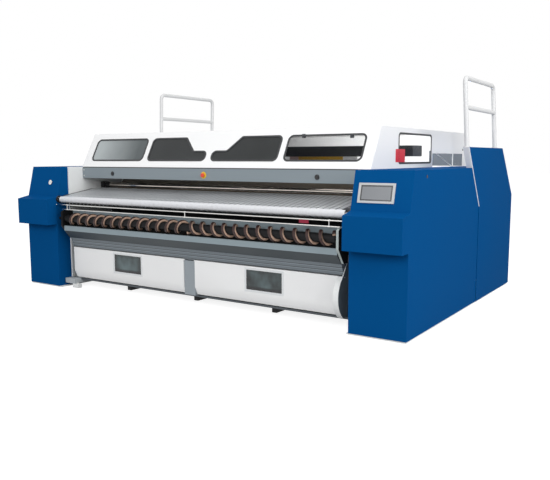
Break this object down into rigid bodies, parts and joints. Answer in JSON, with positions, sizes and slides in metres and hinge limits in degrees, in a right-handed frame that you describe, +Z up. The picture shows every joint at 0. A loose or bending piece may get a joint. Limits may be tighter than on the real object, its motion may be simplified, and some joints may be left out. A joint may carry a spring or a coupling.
{
  "type": "flatwork ironer",
  "caption": "Chest-type flatwork ironer: padded suction rolls in heated troughs, belt feed table, spiral spreading roller, windowed hood, blue end casings and guard rails",
  "frame": {"origin": "floor level, in the middle of the machine's footprint", "axes": "+X along the machine to the operator's right, +Y from the feeding side to the delivery side, +Z up"},
  "size_m": [5.2, 3.48, 2.5286],
  "materials": {
    "casing_blue": "smooth powder coat",
    "hood_white": "smooth powder coat",
    "frame_white": "powder coat",
    "door_white": "smooth powder coat",
    "beam_grey": "satin paint",
    "apron_dark": "satin paint",
    "bright_steel": "ground",
    "rail_tube": "powder coat",
    "belt_fabric": "woven belt",
    "black_rubber": "matt",
    "tinted_pane": "tinted",
    "screen_glass": "dark display",
    "bezel_silver": "satin",
    "black_plastic": "moulded",
    "red_plastic": "moulded",
    "yellow_plastic": "moulded",
    "flight_black": "moulded, copper-coloured edge",
    "roll_steel": "turned",
    "felt": "needle felt",
    "cast_black": "painted casting",
    "chest_steel": "polished inside",
    "drive_steel": "oiled",
    "motor_grey": "enamel",
    "galvanised": "galvanised sheet",
    "pipe_insulated": "heat-proof paint",
    "gauge_white": "dial"
  },
  "bodies": {
    "root": {"plinths": "frame_white", "base_frame": "beam_grey", "levelling_feet": "black_rubber", "side_frames": "frame_white", "front_covers": "casing_blue", "side_covers": "casing_blue", "rear_covers": "casing_blue", "tower_posts": "hood_white", "cover_locks": "black_plastic", "canopy_shell": "hood_white", "window_panes": "tinted_pane", "rubber_seals": "black_rubber", "front_beam": "beam_grey", "hood_beam_and_stays": "galvanised", "feed_belts": "belt_fabric", "feed_table_bed": "beam_grey", "gearmotors": "motor_grey", "spreader_brackets": "frame_white", "catch_trough": "beam_grey", "apron": "apron_dark", "door_rail": "beam_grey", "end_cheeks": "frame_white", "centre_post": "beam_grey", "bearing_blocks": "cast_black", "chests": "chest_steel", "bridge_plate": "chest_steel", "drive_chain": "drive_steel", "suction_ducting": "galvanised", "delivery_chute": "galvanised", "rear_panels": "door_white", "steam_pipes": "pipe_insulated", "screen_bezel": "bezel_silver", "screen_panel": "screen_glass", "control_cabinet": "beam_grey", "gauge": "gauge_white", "button_collars": "black_plastic", "stop_plate": "yellow_plastic", "handrails": "rail_tube"},
    "feed_roller_front": {"feed_roller_front": "bright_steel"},
    "feed_roller_rear": {"feed_roller_rear": "bright_steel"},
    "spreading_roller": {"spreader_core": "cast_black", "spreader_flights": "flight_black"},
    "door_right": {"door_right_panel": "door_white", "door_right_window": "tinted_pane"},
    "door_left": {"door_left_panel": "door_white", "door_left_window": "tinted_pane"},
    "safety_bar": {"safety_bar": "bright_steel"},
    "roll_front": {"roll_front": "roll_steel", "roll_front_padding": "felt", "sprocket_front": "drive_steel"},
    "roll_rear": {"roll_rear": "roll_steel", "roll_rear_padding": "felt", "sprocket_rear": "drive_steel"},
    "press_roller": {"press_roller": "bright_steel"},
    "motor_sprocket": {"motor_sprocket": "drive_steel"},
    "fan_impeller": {"fan_impeller": "galvanised"},
    "delivery_roller": {"delivery_roller": "bright_steel"},
    "push_button_left": {"push_button_left": "black_plastic"},
    "push_button_right": {"push_button_right": "black_plastic"},
    "stop_button": {"stop_button": "red_plastic"}
  },
  "joints": [
    {"name": "spreading_roller_spin", "type": "hinge", "parent": "root", "child": "spreading_roller", "pos_m": [0, -1.55, 0.87], "axis": [1, 0, 0], "continuous": true},
    {"name": "feed_roller_front_spin", "type": "hinge", "parent": "root", "child": "feed_roller_front", "pos_m": [0, -1.56, 1.105], "axis": [1, 0, 0], "continuous": true},
    {"name": "feed_roller_rear_spin", "type": "hinge", "parent": "root", "child": "feed_roller_rear", "pos_m": [0, -1, 1.193], "axis": [1, 0, 0], "continuous": true},
    {"name": "roll_front_spin", "type": "hinge", "parent": "root", "child": "roll_front", "pos_m": [0, -0.5, 1.008], "axis": [1, 0, 0], "continuous": true},
    {"name": "roll_rear_spin", "type": "hinge", "parent": "root", "child": "roll_rear", "pos_m": [0, 0.6, 1.008], "axis": [1, 0, 0], "continuous": true},
    {"name": "press_roller_spin", "type": "hinge", "parent": "root", "child": "press_roller", "pos_m": [0, -0.85487, 1.26019], "axis": [1, 0, 0], "continuous": true},
    {"name": "motor_sprocket_spin", "type": "hinge", "parent": "root", "child": "motor_sprocket", "pos_m": [0, 0.05, 0.43], "axis": [1, 0, 0], "continuous": true},
    {"name": "delivery_roller_spin", "type": "hinge", "parent": "root", "child": "delivery_roller", "pos_m": [0, 1.125, 0.965], "axis": [1, 0, 0], "continuous": true},
    {"name": "fan_impeller_spin", "type": "hinge", "parent": "root", "child": "fan_impeller", "pos_m": [-2.29, 0.05, 0.58], "axis": [0, 0, 1], "continuous": true},
    {"name": "door_right_swing", "type": "hinge", "parent": "root", "child": "door_right", "pos_m": [0.965, -1.451, 0.498], "axis": [-1, 0, 0], "range_deg": [0, 80]},
    {"name": "door_left_swing", "type": "hinge", "parent": "root", "child": "door_left", "pos_m": [-0.99, -1.451, 0.498], "axis": [-1, 0, 0], "range_deg": [0, 80]},
    {"name": "safety_bar_tilt", "type": "hinge", "parent": "root", "child": "safety_bar", "pos_m": [0, -1.6, 1.041], "axis": [1, 0, 0], "range_deg": [0, 15]},
    {"name": "stop_button_push", "type": "slide", "parent": "root", "child": "stop_button", "axis": [0, 1, 0], "range_m": [0, 0.008]},
    {"name": "push_button_left_push", "type": "slide", "parent": "root", "child": "push_button_left", "axis": [0, 1, 0], "range_m": [0, 0.005], "stiffness_N_per_m": 600, "springref_m": -0.004},
    {"name": "push_button_right_push", "type": "slide", "parent": "root", "child": "push_button_right", "axis": [0, 1, 0], "range_m": [0, 0.005], "stiffness_N_per_m": 600, "springref_m": -0.004}
  ],
  "couplings": [
    {"joint": "feed_roller_rear_spin", "follows": "feed_roller_front_spin", "ratio": 1},
    {"joint": "roll_rear_spin", "follows": "roll_front_spin", "ratio": 1},
    {"joint": "press_roller_spin", "follows": "roll_front_spin", "ratio": -11.429},
    {"joint": "motor_sprocket_spin", "follows": "roll_front_spin", "ratio": 2.5714},
    {"joint": "delivery_roller_spin", "follows": "roll_front_spin", "ratio": -8.8889}
  ]
}
